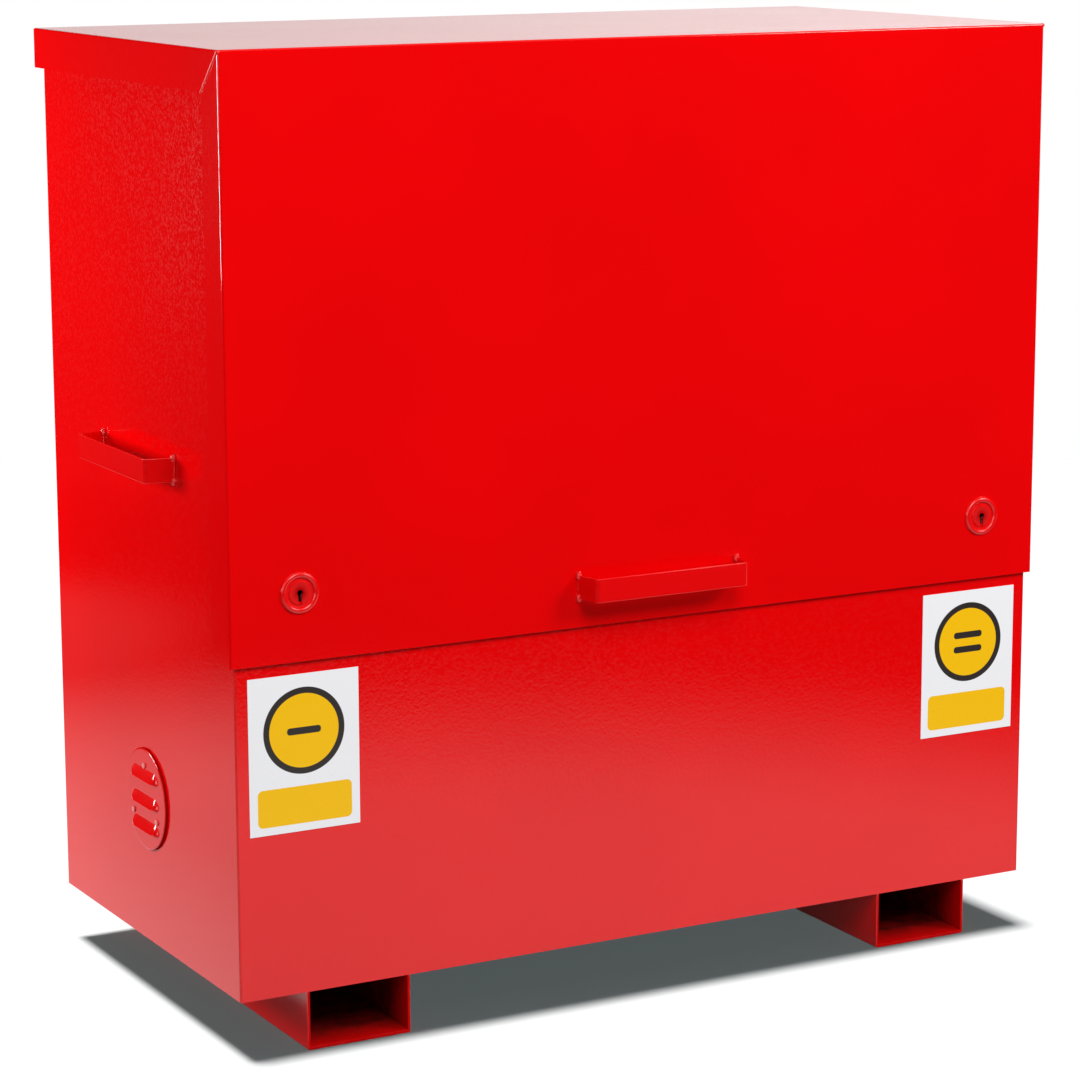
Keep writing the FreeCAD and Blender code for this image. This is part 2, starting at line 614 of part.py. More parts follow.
def rose(name, x):
    """A round lock rose with a rounded rim, a sunk floor and a raised core."""
    outer, core = d.rose_diameter / 2, d.rose_core / 2
    disc = rod(f"rose_{name}_disc", "y", outer, lid_front, lid_front - d.rose_height,
               x, d.lock_level)
    well = rod(f"rose_{name}_well", "y", outer - d.rose_ring, lid_front - d.rose_floor,
               lid_front - d.rose_height - OVERCUT, x, d.lock_level)
    rim = cut(f"rose_{name}_rim", disc, [well])
    doc.recompute()
    rounded = doc.addObject("Part::Fillet", f"rose_{name}_rounded")
    rounded.Base = rim
    crest = (lid_front - d.rose_height).number
    soft = min(d.rose_ring.number / 2, d.rose_height.number) * RIM_ROUND_SHARE
    rounded.Edges = [(i + 1, soft, soft) for i, edge in enumerate(rim.Shape.Edges)
                     if abs(edge.CenterOfMass.y - crest) < 1e-6 and len(edge.Vertexes) == 1]
    boss = rod(f"rose_{name}_core", "y", core, lid_front - d.rose_floor,
               lid_front - d.rose_core_height, x, d.lock_level)
    whole = fuse(f"rose_{name}_whole", [rounded, boss])
    keyed = key_cut(f"rose_{name}", x, lid_front - d.rose_height - OVERCUT, lid_front + OVERCUT)
    keep(cut(f"rose_{name}_cut", whole, keyed), f"lock_rose_{name}")


def lock(side, name):
    x = lock_x(side)
    rose(name, x)
    face = x + side * d.lock_backset
    rear = face - side * d.lock_width
    low = d.lock_level - d.lock_below_key
    high = low + d.lock_height
    gauge = d.lock_gauge
    plate_front, plate_back = lid_inside, lid_inside + gauge
    case_back = lid_inside + d.lock_depth

    plate = box(f"lock_plate_{name}_sheet", (face, rear), (plate_front, plate_back),
                (low - d.lock_plate_margin, high + d.lock_plate_margin))
    stud_places = [(x_edge, z_edge)
                   for x_edge in (face - side * d.stud_edge * 2, rear + side * d.stud_edge * 2)
                   for z_edge in (low - d.stud_edge, high + d.stud_edge)]
    holes = [rod(f"stud_hole_{name}_{i}", "y", d.stud_diameter / 2 + d.rivet_hole_play / 2,
                 plate_front - OVERCUT, plate_back + OVERCUT, sx, sz)
             for i, (sx, sz) in enumerate(stud_places)]
    keyed = key_cut(f"lock_plate_{name}", x, plate_front - OVERCUT, plate_back + OVERCUT)
    keep(cut(f"lock_plate_{name}_cut", plate, holes + keyed), f"lock_plate_{name}")

    block = box(f"lock_block_{name}", (face, rear), (plate_back, case_back), (low, high))
    inner = box(f"lock_inner_{name}", (face - side * gauge, rear + side * gauge),
                (plate_back - OVERCUT, case_back - gauge), (low + gauge, high - gauge))
    mouth = box(f"lock_mouth_{name}", (face + side * OVERCUT, face - side * (gauge + OVERCUT)),
                bolt_span_y(d.bolt_play / 2), bolt_span_z(d.bolt_play / 2))
    keep(cut(f"lock_case_{name}_cut", block, [inner, mouth]), f"lock_case_{name}")

    tip = face - side * d.bolt_inset
    bolt = box(f"lock_bolt_{name}_bar", (tip, tip - side * (d.bolt_throw + d.bolt_tail)),
               bolt_span_y(ZERO), bolt_span_z(ZERO))
    keep(bolt, f"lock_bolt_{name}")

    level = d.lock_level + d.bolt_rise
    keeper = box(f"lock_keeper_{name}_sheet",
                 (side * (jamb_inside + d.body_gauge),
                  side * (jamb_inside + d.body_gauge + d.keeper_gauge)),
                 (wall_inside + d.body_gauge, jamb_back),
                 (level - d.keeper_height / 2, level + d.keeper_height / 2))
    slot = box(f"keeper_slot_{name}",
               (side * jamb_inside, side * (jamb_inside + d.body_gauge + d.keeper_gauge * 2)),
               bolt_span_y(d.bolt_play), bolt_span_z(d.bolt_play))
    keep(cut(f"lock_keeper_{name}_cut", keeper, [slot]), f"lock_keeper_{name}")

    studs = [rod(f"lock_stud_{name}_{i}", "y", d.stud_diameter / 2, lid_inside,
                 lid_inside + d.stud_length, sx, sz) for i, (sx, sz) in enumerate(stud_places)]
    keep(group(f"studs_{name}", studs), f"lock_studs_{name}")
    nuts = []
    for i, (sx, sz) in enumerate(stud_places):
        blank = doc.addObject("Part::Prism", f"nut_blank_{name}_{i}")
        blank.Polygon = 6
        blank.setExpression("Circumradius", (d.nut_width / 2).formula + " / cos(30)")
        blank.setExpression("Height", d.nut_height.formula)
        place(blank, sx, plate_back, sz, TURNS["y"])
        bore = rod(f"nut_bore_{name}_{i}", "y", d.stud_diameter / 2, plate_back - OVERCUT,
                   plate_back + d.nut_height + OVERCUT, sx, sz)
        nuts.append(cut(f"nut_{name}_{i}", blank, [bore]))
    keep(group(f"nuts_{name}", nuts), f"lock_nuts_{name}")


# Gas struts: a tube on a bracket pin low on the side panel, and a rod up to the lid
def strut(side, name):
    foot_y, foot_z = hinge_y - d.strut_foot_ahead, hinge_z - d.strut_foot_below
    head_y, head_z = hinge_y - d.strut_head_ahead, hinge_z + d.strut_head_above
    x = side * (side_inside - d.strut_plane)
    line = Vector(0, (head_y - foot_y).number, (head_z - foot_z).number)
    closed = Size(line.Length, f"sqrt(({(head_y - foot_y).formula})^2"
                               f" + ({(head_z - foot_z).formula})^2)")
    lean = Rotation(Vector(0, 0, 1), line)

    unit = Vector(line).normalize()

    def along(label, radius, start, end):
        """A round bar on the strut's own line, from start to end above the foot pivot."""
        obj = doc.addObject("Part::Cylinder", label)
        obj.setExpression("Radius", Size.of(radius).formula)
        obj.setExpression("Height", (end - start).formula)
        base = Vector(x.number, foot_y.number, foot_z.number) + unit * start.number
        obj.Placement = Placement(base, lean)
        return obj

    bore = d.strut_tube / 2 - d.strut_tube_wall
    tube_start = d.strut_foot_gap
    guide_start = d.rod_tail_gap + d.piston_length + d.strut_travel + d.strut_end_room
    tube_end = guide_start + d.guide_length
    tube = along(f"tube_{name}", d.strut_tube / 2, tube_start, tube_end)
    hollow = along(f"tube_bore_{name}", bore, tube_start + d.strut_tube_wall * 2,
                   tube_end + OVERCUT)
    keep(cut(f"tube_cut_{name}", tube, [hollow]), f"strut_tube_{name}")
    guide = along(f"guide_{name}", bore, guide_start, tube_end)
    guide_bore = along(f"guide_bore_{name}", d.strut_rod / 2 + d.rod_play,
                       guide_start - OVERCUT, tube_end + OVERCUT)
    keep(cut(f"guide_cut_{name}", guide, [guide_bore]), f"strut_guide_{name}")

    eye_half = d.eye_width / 2
    shoulder = closed - d.eye_diameter / 2 - OVERCUT
    rod_bar = along(f"rod_{name}", d.strut_rod / 2, d.rod_tail_gap, shoulder)
    rod_tip = along(f"rod_tip_{name}", d.eye_shank / 2, shoulder, shoulder + d.eye_shank_seat)
    piston = along(f"piston_{name}", bore - d.piston_play, d.rod_tail_gap,
                   d.rod_tail_gap + d.piston_length)
    keep(fuse(f"rod_fused_{name}", [rod_bar, rod_tip, piston]), f"strut_rod_{name}")

    eye = rod(f"eye_foot_{name}", "x", d.eye_diameter / 2, x - eye_half, x + eye_half,
              foot_y, foot_z)
    shank = along(f"eye_shank_{name}", d.eye_shank / 2, ZERO, tube_start)
    pin_hole = rod(f"eye_bore_{name}", "x", d.eye_pin / 2 + d.eye_play,
                   x - eye_half - OVERCUT, x + eye_half + OVERCUT, foot_y, foot_z)
    keep(cut(f"eye_foot_cut_{name}", fuse(f"eye_foot_fused_{name}", [eye, shank]), [pin_hole]),
         f"strut_eye_lower_{name}")
    head_eye = rod(f"eye_head_{name}", "x", d.eye_diameter / 2, x - eye_half, x + eye_half,
                   head_y, head_z)
    socket = along(f"eye_head_seat_{name}", d.eye_shank / 2, shoulder - OVERCUT,
                   shoulder + d.eye_shank_seat)
    keep(cut(f"eye_head_cut_{name}", head_eye, [socket]), f"strut_eye_upper_{name}")

    wall = side * side_inside
    bracket_face = side * (side_inside - d.bracket_gauge)
    plate = box(f"bracket_body_{name}", (wall, bracket_face),
                (foot_y - d.bracket_width / 2, foot_y + d.bracket_width / 2),
                (foot_z - d.bracket_height / 2, foot_z + d.bracket_height / 2))
    collar = rod(f"collar_{name}", "x", d.collar_diameter / 2, bracket_face,
                 x + side * (eye_half + d.pivot_gap), foot_y, foot_z)
    pin = rod(f"pin_{name}", "x", d.eye_pin / 2, bracket_face,
              x - side * (eye_half + d.pivot_gap), foot_y, foot_z)
    cap = rod(f"pin_cap_{name}", "x", d.collar_diameter / 2,
              x - side * (eye_half + d.pivot_gap),
              x - side * (eye_half + d.pivot_gap + d.pin_cap), foot_y, foot_z)
    keep(plate, f"strut_bracket_body_{name}")
    keep(fuse(f"stud_body_{name}", [collar, pin, cap]), f"strut_stud_body_{name}")

    stud_end = x - side * (eye_half + d.pivot_gap)
    web_face = stud_end - side * (d.bracket_gauge * 2)
    web_back = web_face - side * d.bracket_gauge
    web = box(f"bracket_web_{name}", (web_face, web_back),
              (head_y - d.bracket_width / 2, head_y + d.bracket_width / 2),
              (head_z - d.eye_diameter / 2, lid_top_inside))
    foot = box(f"bracket_foot_{name}", (web_face, web_back - side * d.bracket_width / 2),
               (head_y - d.bracket_width / 2, head_y + d.bracket_width / 2),
               (lid_top_inside - d.bracket_gauge, lid_top_inside))
    keep(fuse(f"bracket_lid_{name}", [web, foot]), f"strut_bracket_lid_{name}")
    keep(rod(f"stud_lid_{name}", "x", d.eye_pin / 2, web_face, stud_end, head_y, head_z),
         f"strut_stud_lid_{name}")


# Rubber buffers between the closed lid and the body
def buffers():
    radius = d.buffer_diameter / 2
    top = [rod(f"top_buffer_{side + 1}", "z", radius, body_top,
               lid_top_inside - d.buffer_clearance,
               side * (side_inside - radius), wall_inside + d.buffer_inset)
           for side in (-1, 1)]
    keep(group("top_buffers", top), "lid_buffers_top")
    front = [rod(f"front_buffer_{side + 1}", "y", radius, lid_inside + d.buffer_clearance,
                 body_front, side * front_buffer_spacing / 2,
                 wall_top - d.front_buffer_drop)
             for side in (-1, 1)]
    keep(group("front_buffers", front), "lid_buffers_front")


# Plain sign plates on the front wall
def sign_plates():
    top = d.lid_front_edge - d.plate_inset
    for side, name in ((-1, "left"), (1, "right")):
        outer = side * (side_face - d.plate_inset)
        keep(box(f"plate_{name}", (outer, outer - side * d.plate_width),
                 (body_front - d.plate_gauge, body_front), (top - d.plate_height, top)),
             f"sign_plate_{name}")


lid_shell()
lid_braces()
side_panels()
back_panel()
front_wall()
sump_tray()
fork_channels()
handles()
for side, name in ((-1, "left"), (1, "right")):
    vent(side, name)
    lock(side, name)
    strut(side, name)
hinge()
buffers()
sign_plates()
doc.recompute()

failed = [obj.Name for obj in doc.Objects if {"Invalid", "Error"} & set(obj.State)]
if failed:
    raise RuntimeError(f"objects failed: {failed}")
for piece in pieces:
    if piece.Shape.isNull() or not piece.Shape.isValid() or not piece.Shape.Solids:
        raise RuntimeError(f"{piece.Label} has no valid solid")
for piece in pieces:
    piece.Shape.exportStep(f"parts/{piece.Label}.step")
    size = piece.Shape.BoundBox
    print(f"{piece.Label}: {len(piece.Shape.Solids)} solids, {piece.Shape.Volume:.0f} mm3,"
          f" {size.XLength:.1f} x {size.YLength:.1f} x {size.ZLength:.1f}")
print(len(pieces), "sub-parts")
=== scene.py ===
from math import cos, pi, radians, sin

import bmesh
import bpy
from mathutils import Matrix, Vector, noise


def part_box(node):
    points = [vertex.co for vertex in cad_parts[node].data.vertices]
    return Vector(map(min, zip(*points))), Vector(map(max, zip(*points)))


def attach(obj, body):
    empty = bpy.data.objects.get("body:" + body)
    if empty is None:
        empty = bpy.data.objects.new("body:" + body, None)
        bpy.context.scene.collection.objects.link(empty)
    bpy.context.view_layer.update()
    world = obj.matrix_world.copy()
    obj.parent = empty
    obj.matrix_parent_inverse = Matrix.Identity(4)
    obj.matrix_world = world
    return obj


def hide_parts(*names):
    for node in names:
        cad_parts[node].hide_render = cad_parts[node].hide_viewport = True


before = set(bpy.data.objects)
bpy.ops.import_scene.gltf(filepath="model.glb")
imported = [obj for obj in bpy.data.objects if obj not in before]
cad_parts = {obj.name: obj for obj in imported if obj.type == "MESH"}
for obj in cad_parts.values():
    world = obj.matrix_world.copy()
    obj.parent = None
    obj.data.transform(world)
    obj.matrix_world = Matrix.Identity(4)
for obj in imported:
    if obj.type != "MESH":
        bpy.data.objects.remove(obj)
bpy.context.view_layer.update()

MM = 0.001


# Fork channels: two U sections of 4 mm plate, open at both ends, bent on a press brake
# and stitch-welded under the floor of the body. Powder coated with the whole chest.
def feed(tree, socket, value):
    """Links a socket to another one, or gives it a plain value."""
    if isinstance(value, bpy.types.NodeSocket):
        tree.links.new(value, socket)
    else:
        socket.default_value = value


def add(tree, kind, sockets=None, **settings):
    """A shader node with its settings, and its sockets given values or linked."""
    made = tree.nodes.new(kind)
    for key, value in settings.items():
        setattr(made, key, value)
    for key, value in (sockets or {}).items():
        feed(tree, made.inputs[key], value)
    return made


def maths(tree, operation, *values):
    """The number that one operation makes of its values."""
    return add(tree, "ShaderNodeMath", dict(enumerate(values)), operation=operation).outputs[0]


def vectors(tree, operation, *values):
    """The vector that one operation makes of its values."""
    return add(tree, "ShaderNodeVectorMath", dict(enumerate(values)), operation=operation).outputs[0]


def spread(tree, value, start, end, low=0.0, high=1.0, **settings):
    """A number taken from one range to another and held at the ends."""
    return add(tree, "ShaderNodeMapRange", {"Value": value, "From Min": start, "From Max": end,
                                            "To Min": low, "To Max": high}, **settings).outputs[0]


def blend(tree, share, base, over):
    """One colour laid over another by a share of 0 to 1."""
    return add(tree, "ShaderNodeMix", {0: share, 6: base, 7: over}, data_type="RGBA").outputs[2]


def object_place(tree):
    """Where a point lies on the object, in metres."""
    return add(tree, "ShaderNodeTexCoord").outputs["Object"]


def clouds(tree, place, per_metre, detail, roughness=0.5):
    """Soft noise about 0.5."""
    return add(tree, "ShaderNodeTexNoise", {"Vector": place, "Scale": per_metre, "Detail": detail,
                                            "Roughness": roughness}).outputs["Fac"]


def new_material(name):
    """A material, its node tree and its surface shader."""
    material = bpy.data.materials.new(name)
    material.use_nodes = True
    return material, material.node_tree, material.node_tree.nodes["Principled BSDF"]


def surface(tree, shader, colour, rough, height, depth):
    """Gives the shader its colour, its roughness and a relief of a depth in metres."""
    bump = add(tree, "ShaderNodeBump", {"Height": height, "Distance": depth, "Strength": 1.0})
    feed(tree, shader.inputs["Base Color"], colour)
    feed(tree, shader.inputs["Roughness"], rough)
    feed(tree, shader.inputs["Normal"], bump.outputs["Normal"])


def paint_texture_group():
    """Height, tone and grain of a sprayed and baked powder coat, in metres on the object."""
    group = bpy.data.node_groups.new("paint_texture", "ShaderNodeTree")
    for name in ("Peel Size", "Peel Depth", "Grain Size", "Grain Depth"):
        group.interface.new_socket(name, in_out="INPUT", socket_type="NodeSocketFloat")
    for name in ("Height", "Tone", "Grain"):
        group.interface.new_socket(name, in_out="OUTPUT", socket_type="NodeSocketFloat")
    given = group.nodes.new("NodeGroupInput").outputs
    place = object_place(group)
    peel, grain = (clouds(group, place, maths(group, "DIVIDE", 1.0, given[f"{layer} Size"]), detail)
                   for layer, detail in (("Peel", 1.5), ("Grain", 0.5)))
    height = maths(group, "ADD", maths(group, "MULTIPLY", peel, given["Peel Depth"]),
                   maths(group, "MULTIPLY", grain, given["Grain Depth"]))
    tone = spread(group, clouds(group, place, TONES_PER_METRE, 3.0), 0.3, 0.7)
    add(group, "NodeGroupOutput", {"Height": height, "Tone": tone, "Grain": grain})
    return group


def reach_of_dirt_and_shade_group():
    """1 near a point, line, box or ring and 0 further off, alike on both halves of the chest."""
    group = bpy.data.node_groups.new("reach_of_dirt_and_shade", "ShaderNodeTree")
    for name, kind in (("Centre", "Vector"), ("Half Size", "Vector"), ("Radius", "Float"),
                       ("Full To", "Float"), ("Gone At", "Float")):
        group.interface.new_socket(name, in_out="INPUT", socket_type=f"NodeSocket{kind}")
    group.interface.new_socket("Mask", in_out="OUTPUT", socket_type="NodeSocketFloat")
    given = group.nodes.new("NodeGroupInput").outputs
    parts = add(group, "ShaderNodeSeparateXYZ", {0: object_place(group)}).outputs
    halved = add(group, "ShaderNodeCombineXYZ", {0: maths(group, "ABSOLUTE", parts["X"]),
                                                 1: parts["Y"], 2: parts["Z"]}).outputs[0]
    offset = vectors(group, "ABSOLUTE", vectors(group, "SUBTRACT", halved, given["Centre"]))
    offset = vectors(group, "MAXIMUM", vectors(group, "SUBTRACT", offset, given["Half Size"]), (0, 0, 0))
    reach = add(group, "ShaderNodeVectorMath", {0: offset}, operation="LENGTH").outputs["Value"]
    reach = maths(group, "ABSOLUTE", maths(group, "SUBTRACT", reach, given["Radius"]))
    mask = spread(group, reach, given["Full To"], given["Gone At"], 1.0, 0.0)
    add(group, "NodeGroupOutput", {"Mask": mask})
    return group


TONES_PER_METRE, DIRT_AND_SHADE_PER_METRE = 2.6, 55.0
GRAIN_SIZE, GRAIN_DEPTH = 3.7 * MM, 0.05 * MM
GRAIN_LOW, GRAIN_HIGH = 0.35, 0.65
PAINT_DEEP = (0.76, 0.0004, 0.0012, 1)
PAINT_BRIGHT = (0.84, 0.0006, 0.0016, 1)
DIRT_AND_SHADE_BROWN = (0.012, 0.004, 0.003, 1)
CLEAN_SHINE, SHINE_GONE_AT = 0.5, 0.4
paint_texture = paint_texture_group()
reach_of_dirt_and_shade = reach_of_dirt_and_shade_group()


def powder_coat(name, peel_size, peel_depth, gloss, dirt_and_shade=0.0, where=None, flecks=0.1):
    """Red powder coat, its gloss flecked by its grain.

    Dark brown lies all over it, or only where the reach_of_dirt_and_shade mask of the place says: real dirt
    on some coats, painted shade on others.
    """
    material, tree, shader = new_material(name)
    paint = add(tree, "ShaderNodeGroup", {"Peel Size": peel_size, "Peel Depth": peel_depth,
                                          "Grain Size": GRAIN_SIZE, "Grain Depth": GRAIN_DEPTH},
                node_tree=paint_texture).outputs
    colour = blend(tree, paint["Tone"], PAINT_DEEP, PAINT_BRIGHT)
    fleck = spread(tree, paint["Grain"], GRAIN_LOW, GRAIN_HIGH, 1 - flecks, 1 + flecks)
    rough = spread(tree, paint["Tone"], 0, 1, gloss + 0.02, gloss - 0.01)
    rough = maths(tree, "MULTIPLY", rough, fleck)
    if dirt_and_shade:
        patches = clouds(tree, object_place(tree), DIRT_AND_SHADE_PER_METRE, 7.0, roughness=0.65)
        dirt_and_shade_share = spread(tree, patches, 0.2, 0.8, dirt_and_shade * 0.75, dirt_and_shade)
        if where:
            mask = add(tree, "ShaderNodeGroup", where, node_tree=reach_of_dirt_and_shade).outputs["Mask"]
            dirt_and_shade_share = maths(tree, "MULTIPLY", dirt_and_shade_share, mask)
        colour = blend(tree, dirt_and_shade_share, colour, DIRT_AND_SHADE_BROWN)
        rough = maths(tree, "ADD", rough, dirt_and_shade_share)
        shine = spread(tree, dirt_and_shade_share, 0, SHINE_GONE_AT, CLEAN_SHINE, 0.0)
        feed(tree, shader.inputs["Specular IOR Level"], shine)
    surface(tree, shader, colour, rough, paint["Height"], 1.0)
    return material


SAME_POINT = 0.02 * MM
FLAT_TURN, SHARP_TURN, SMOOTH_TURN = radians(0.4), radians(30), radians(38)


def merged_copy(node):
    """The shape of a CAD node as a clean mesh, its triangles joined into whole faces."""
    bm = bmesh.new()
    bm.from_mesh(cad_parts[node].data)
    bmesh.ops.remove_doubles(bm, verts=bm.verts, dist=SAME_POINT)
    bmesh.ops.dissolve_limit(bm, angle_limit=FLAT_TURN, verts=bm.verts, edges=bm.edges)
    return bm


def soften(bm, width, segments=2):
    """Rounds every sharp edge by a width."""
    sharp = [edge for edge in bm.edges if edge.is_manifold and edge.calc_face_angle(0) > SHARP_TURN]
    bmesh.ops.bevel(bm, geom=sharp, offset=width, offset_type="OFFSET", segments=segments,
                    profile=0.5, affect="EDGES", clamp_overlap=True, material=-1)


def finish_piece(bm, name, body, slot, material, *nodes):
    """Turns the mesh into a piece that rides on its body and stands for its CAD nodes."""
    mesh = bpy.data.meshes.new(name)
    bm.to_mesh(mesh)
    bm.free()
    mesh.materials.append(material)
    mesh.shade_smooth()
    mesh.set_sharp_from_angle(angle=SMOOTH_TURN)
    piece = bpy.data.objects.new(name, mesh)
    bpy.context.scene.collection.objects.link(piece)
    normals = piece.modifiers.new("face normals", "WEIGHTED_NORMAL")
    normals.keep_sharp = True
    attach(piece, body)
    if nodes:
        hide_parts(*nodes)
    return piece


def dressed(node, body, slot, material, edge, segments=2, whole_faces=True):
    """A CAD node's own shape with its edges eased, in its finish."""
    bm = merged_copy(node)
    soften(bm, edge, segments)
    if not whole_faces:
        bmesh.ops.triangulate(bm, faces=[face for face in bm.faces if len(face.verts) > 4])
    return finish_piece(bm, f"{node}_finished", body, slot, material, node)


def weld_run(bm, start, end, width, seed):
    """A short weld bead: overlapping squashed drops in a row, each a little different."""
    start, end = Vector(start), Vector(end)
    drops = max(2, round((end - start).length / (width * DROP_STEP)))
    along = (end - start).to_track_quat("X", "Z").to_matrix().to_4x4()
    for index in range(drops + 1):
        spot = start.lerp(end, index / drops)
        swell = 1 + DROP_SWELL * noise.noise(Vector((seed, index * 0.9, 0.3)))
        squash = Matrix.Diagonal((width * DROP_LENGTH * swell, width * 0.5 * swell, width * 0.5 * swell, 1))
        bmesh.ops.create_icosphere(bm, subdivisions=2, radius=1,
                                   matrix=Matrix.Translation(spot) @ along @ squash)


DROP_STEP, DROP_LENGTH, DROP_SWELL = 0.4, 0.42, 0.22
SIDES = {"left": -1, "right": 1}
RED = "red_powder_coat"
coat_small = powder_coat("coat_small", 3.0 * MM, 0.04 * MM, 0.15)

MOUTH, PAINTED_SHADE_FADE, WALL_DEPTH = 55 * MM, 93.5 * MM, 3 * MM
STITCH_LENGTH, STITCH_WIDTH = 45 * MM, 4 * MM
STITCH_OUT, STITCH_DOWN = 0.6 * MM, 1.2 * MM
STITCH_PLACES = (0.12, 0.5, 0.88)
for name, side in SIDES.items():
    channel = f"fork_channel_{name}"
    low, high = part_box(channel)
    steel = dressed(channel, "chest", RED, coat_small, 0.8 * MM)
    # Inside each channel the coat is painted shade, darkest deep in and fading out towards the open ends.
    coat_painted_shade = powder_coat(f"coat_painted_shade_{name}", 3.8 * MM, 0.07 * MM, 0.3, dirt_and_shade=1.0, where={
        "Centre": (0, (low.y + high.y) / 2, 0), "Half Size": (1, (high.y - low.y) / 2 - MOUTH, 1),
        "Full To": 0.0, "Gone At": PAINTED_SHADE_FADE})
    steel.data.materials.append(coat_painted_shade)
    for face in steel.data.polygons:
        middle = face.center
        inside = low.x + WALL_DEPTH < middle.x < high.x - WALL_DEPTH and middle.z > WALL_DEPTH
        face.material_index = int(inside)
    stitches = bmesh.new()
    for wall, out in ((low.x, -1), (high.x, 1)):
        for index, share in enumerate(STITCH_PLACES):
            y = low.y + (high.y - low.y) * share
            start, end = ((wall + out * STITCH_OUT, y + reach, high.z - STITCH_DOWN)
                          for reach in (-STITCH_LENGTH / 2, STITCH_LENGTH / 2))
            weld_run(stitches, start, end, STITCH_WIDTH, index + side * wall)
    finish_piece(stitches, f"{channel}_welds", "chest", RED, coat_small)


# Sump tray: a folded 3 mm tray with welded corners, seam-welded into the bottom of the body
# so that spilled liquid stays in. Its floor is a little dulled by tins and drums.
coat_scuffed = powder_coat("coat_scuffed", 3.8 * MM, 0.1 * MM, 0.26, dirt_and_shade=0.22)
dressed("sump_tray", "chest", RED, coat_scuffed, 0.9 * MM)


# Body sheets: two side panels folded at the door jambs, a back panel folded at the corners,
# and a low front wall with a folded rail along its top, all 2 mm steel seam-welded together.
SHEET, BODY_EDGE, BODY_BEND, BEND_TURN = 2 * MM, 0.6 * MM, 2.4 * MM, radians(60)
wall_low, wall_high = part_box("front_wall")
# The body's coat carries painted shade in a thin dark band along the seam where the front wall's end meets
# each side panel.
coat_body = powder_coat("coat_body", 3.8 * MM, 0.1 * MM, 0.1, flecks=0.45, dirt_and_shade=0.3, where={
    "Centre": (wall_high.x, wall_low.y + SHEET, (wall_low.z + wall_high.z) / 2),
    "Half Size": (0, 0, (wall_high.z - wall_low.z) / 2), "Full To": 1.2 * MM, "Gone At": 2.8 * MM})


def folded_sheet(node, body, coat, bend, edge):
    """A folded sheet: its bends rounded on the outside, its cut edges eased."""
    bm = merged_copy(node)

    def broad(face):
        """Wider than the sheet's own cut edge."""
        return face.calc_area() / max(side.calc_length() for side in face.edges) > 2 * SHEET

    bends = [fold for fold in bm.edges if fold.is_manifold and fold.is_convex
             and fold.calc_face_angle(0) > BEND_TURN and all(broad(face) for face in fold.link_faces)]
    bmesh.ops.bevel(bm, geom=bends, offset=bend, offset_type="OFFSET", segments=4, profile=0.5,
                    affect="EDGES", clamp_overlap=True, material=-1)
    soften(bm, edge)
    finish_piece(bm, f"{node}_finished", body, RED, coat, node)


for panel in ("side_panel_left", "side_panel_right", "back_panel", "front_wall"):
    folded_sheet(panel, "chest", coat_body, BODY_BEND, BODY_EDGE)


# Vents: a pressed cover with three louvre hoods, wire gauze and a slotted plate behind it,
# and three rivets through all of them. The cover is painted with the chest, the gauze is bare.
WIRE_PITCH = 1.2 * MM


def woven_wire():
    """Fine woven wire, bright on the wires and dark between them."""
    material, tree, shader = new_material("woven_gauze")
    place = object_place(tree)
    rows = [add(tree, "ShaderNodeTexWave", {"Vector": place, "Scale": 2 * pi / (20 * WIRE_PITCH)},
                bands_direction=axis).outputs["Fac"] for axis in ("Y", "Z")]
    weave = maths(tree, "MAXIMUM", *rows)
    shade = blend(tree, weave, (0.05, 0.05, 0.048, 1), (0.5, 0.49, 0.46, 1))
    surface(tree, shader, shade, 0.42, weave, 0.25 * MM)
    shader.inputs["Metallic"].default_value = 0.9
    return material


DUST_PER_METRE, DUST_DEPTH = 420.0, 0.03 * MM


def enamel(name, colour, rough, speck):
    """Smooth finish with fine paler dust specks."""
    material, tree, shader = new_material(name)
    dust = clouds(tree, object_place(tree), DUST_PER_METRE, 3.0)
    pale = tuple(channel + 0.08 for channel in colour[:3]) + (1,)
    shade = blend(tree, spread(tree, dust, 0.55, 0.8, 0, speck), colour, pale)
    gloss = spread(tree, dust, 0, 1, rough * 0.8, rough * 1.2)
    surface(tree, shader, shade, gloss, dust, DUST_DEPTH)
    return material


gauze_wire = woven_wire()
# The rivets' pale pink paint is a painted highlight, standing in for the light caught on their domed heads.
rivet_highlight_paint = enamel("rivet_highlight_paint", (0.82, 0.2, 0.2, 1), 0.3, 0.4)
HOOD_DEPTH, HOOD_RISE, HOOD_SKIN = 14 * MM, 6 * MM, 1.5 * MM
HOOD_PITCH, HOOD_LENGTH, HOOD_STRAIGHTNESS = 34 * MM, 86 * MM, 0.8
NEARLY = 0.01 * MM


